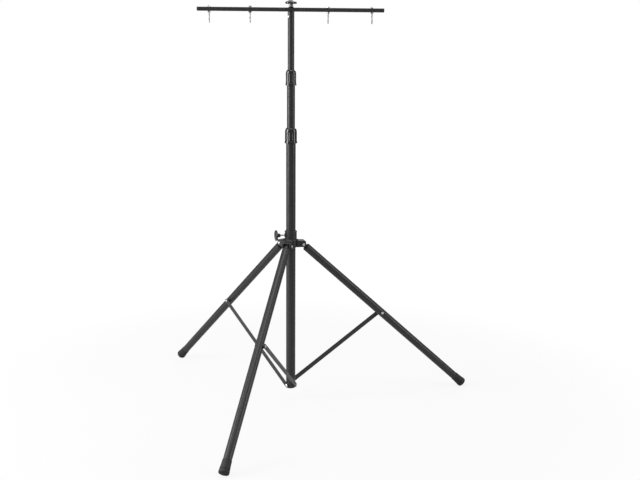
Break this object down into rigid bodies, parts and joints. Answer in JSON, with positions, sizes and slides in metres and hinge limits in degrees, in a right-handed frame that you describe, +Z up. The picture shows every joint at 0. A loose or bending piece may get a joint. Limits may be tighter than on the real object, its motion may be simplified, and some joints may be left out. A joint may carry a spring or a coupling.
{
  "type": "telescopic tripod lamp stand",
  "caption": "Folding tripod stand with a three-stage twist-lock column, a sliding leg hub with straps, and a clamped crossbar carrying hanging lamp bolts.",
  "frame": {"origin": "centre of the flat underside of the column's base plug; the ground is 54.4 mm below it with the legs opened", "axes": "+Z up along the column, +X to the viewer's right and 4 degrees from the crossbar at rest, -Y towards the viewer's side"},
  "size_m": [1.3024, 1.3094, 1.6162],
  "materials": {
    "powder_black": "satin black powder coat on steel tube",
    "gloss_black": "moulded black plastic, semi-gloss",
    "matte_black": "moulded black plastic, matt",
    "zinc_steel": "bright zinc plate",
    "nylon": "natural nylon",
    "rubber_black": "matt black rubber",
    "grey_plastic": "moulded grey plastic",
    "black_oxide": "blackened steel"
  },
  "bodies": {
    "column": {"outer_tube": "powder_black", "base_plug": "matte_black", "brace_base_bolts": "zinc_steel", "lower_lock_ferrule": "matte_black", "lower_lock_collet": "nylon"},
    "lower_grip": {"lower_lock_grip": "gloss_black"},
    "middle_stage": {"middle_tube": "powder_black", "middle_tube_bush": "nylon", "upper_lock_ferrule": "matte_black", "upper_lock_collet": "nylon"},
    "upper_grip": {"upper_lock_grip": "gloss_black"},
    "top_stage": {"top_tube": "powder_black", "top_tube_bush": "nylon", "top_plug": "gloss_black", "top_plug_screw": "zinc_steel"},
    "crossbar": {"crossbar_tube": "powder_black", "crossbar_end_caps": "matte_black", "lamp_bolts": "zinc_steel", "lamp_bolt_washers": "zinc_steel", "lamp_bolt_nuts": "zinc_steel"},
    "knob_washer": {"top_knob_washer": "black_oxide"},
    "top_clamp_knob": {"top_knob_stud": "zinc_steel", "top_knob": "gloss_black", "top_knob_cap": "grey_plastic"},
    "hub": {"hub_casting": "gloss_black", "leg_pivot_pins": "zinc_steel"},
    "clamp_pad": {"hub_clamp_pad": "nylon"},
    "clamp_knob": {"hub_knob": "gloss_black", "hub_knob_screw": "zinc_steel"},
    "leg_1": {"leg_tube_1": "powder_black", "leg_plug_1": "matte_black", "leg_foot_1": "rubber_black", "brace_spacer_1": "matte_black", "brace_bolt_1": "zinc_steel"},
    "brace_1": {"brace_strap_1": "powder_black", "brace_rivet_1": "zinc_steel"},
    "leg_2": {"leg_tube_2": "powder_black", "leg_plug_2": "matte_black", "leg_foot_2": "rubber_black", "brace_spacer_2": "matte_black", "brace_bolt_2": "zinc_steel"},
    "brace_2": {"brace_strap_2": "powder_black", "brace_rivet_2": "zinc_steel"},
    "leg_3": {"leg_tube_3": "powder_black", "leg_plug_3": "matte_black", "leg_foot_3": "rubber_black", "brace_spacer_3": "matte_black", "brace_bolt_3": "zinc_steel"},
    "brace_3": {"brace_strap_3": "powder_black", "brace_rivet_3": "zinc_steel"}
  },
  "joints": [
    {"name": "middle_tube_slide", "type": "slide", "parent": "column", "child": "middle_stage", "axis": [0, 0, 1], "range_m": [-0.16, 0.66]},
    {"name": "top_tube_slide", "type": "slide", "parent": "middle_stage", "child": "top_stage", "axis": [0, 0, 1], "range_m": [-0.19, 0.62]},
    {"name": "lower_lock_twist", "type": "hinge", "parent": "column", "child": "lower_grip", "pos_m": [0, 0, 1.043], "axis": [0, 0, 1], "range_deg": [0, 90]},
    {"name": "upper_lock_twist", "type": "hinge", "parent": "middle_stage", "child": "upper_grip", "pos_m": [0, 0, 1.268], "axis": [0, 0, 1], "range_deg": [0, 90]},
    {"name": "hub_slide", "type": "slide", "parent": "column", "child": "hub", "axis": [0, 0, 1], "range_m": [0, 0.34516]},
    {"name": "clamp_pad_press", "type": "slide", "parent": "hub", "child": "clamp_pad", "axis": [-0.9659, -0.2588, 0], "range_m": [0, 0.001]},
    {"name": "clamp_knob_turn", "type": "hinge", "parent": "clamp_pad", "child": "clamp_knob", "pos_m": [-0.05892, -0.01579, 0.644], "axis": [-0.9659, -0.2588, 0], "range_deg": [0, 360]},
    {"name": "crossbar_swivel", "type": "hinge", "parent": "top_stage", "child": "crossbar", "pos_m": [0, 0, 1.5255], "axis": [0, 0, 1], "continuous": true},
    {"name": "knob_washer_lift", "type": "slide", "parent": "top_stage", "child": "knob_washer", "axis": [0, 0, 1], "range_m": [0, 0.0025]},
    {"name": "top_knob_turn", "type": "hinge", "parent": "knob_washer", "child": "top_clamp_knob", "pos_m": [0, 0, 1.5535], "axis": [0, 0, 1], "range_deg": [0, 720]},
    {"name": "leg_1_fold", "type": "hinge", "parent": "hub", "child": "leg_1", "pos_m": [-0.01318, -0.0472, 0.606], "axis": [0.9632, -0.2689, 0], "range_deg": [0, 47.8]},
    {"name": "brace_1_fold", "type": "hinge", "parent": "column", "child": "brace_1", "pos_m": [0.02119, -0.00592, 0.012], "axis": [-0.9632, 0.2689, 0], "range_deg": [0, 47.88]},
    {"name": "leg_2_fold", "type": "hinge", "parent": "hub", "child": "leg_2", "pos_m": [0.04746, 0.01219, 0.606], "axis": [-0.2487, 0.9686, 0], "range_deg": [0, 47.8]},
    {"name": "brace_2_fold", "type": "hinge", "parent": "column", "child": "brace_2", "pos_m": [-0.00547, 0.02131, 0.012], "axis": [0.2487, -0.9686, 0], "range_deg": [0, 47.88]},
    {"name": "leg_3_fold", "type": "hinge", "parent": "hub", "child": "leg_3", "pos_m": [-0.03428, 0.03501, 0.606], "axis": [-0.7145, -0.6997, 0], "range_deg": [0, 47.8]},
    {"name": "brace_3_fold", "type": "hinge", "parent": "column", "child": "brace_3", "pos_m": [-0.01572, -0.01539, 0.012], "axis": [0.7145, 0.6997, 0], "range_deg": [0, 47.88]}
  ],
  "couplings": [
    {"joint": "clamp_knob_turn", "follows": "clamp_pad_press", "rad_per_m": 6283.2},
    {"joint": "top_knob_turn", "follows": "knob_washer_lift", "rad_per_m": 5026.5},
    {"joint": "leg_1_fold", "follows": "hub_slide", "rad_per_m": 2.417},
    {"joint": "brace_1_fold", "follows": "hub_slide", "rad_per_m": 2.4211},
    {"joint": "leg_2_fold", "follows": "hub_slide", "rad_per_m": 2.417},
    {"joint": "brace_2_fold", "follows": "hub_slide", "rad_per_m": 2.4211},
    {"joint": "leg_3_fold", "follows": "hub_slide", "rad_per_m": 2.417},
    {"joint": "brace_3_fold", "follows": "hub_slide", "rad_per_m": 2.4211}
  ]
}
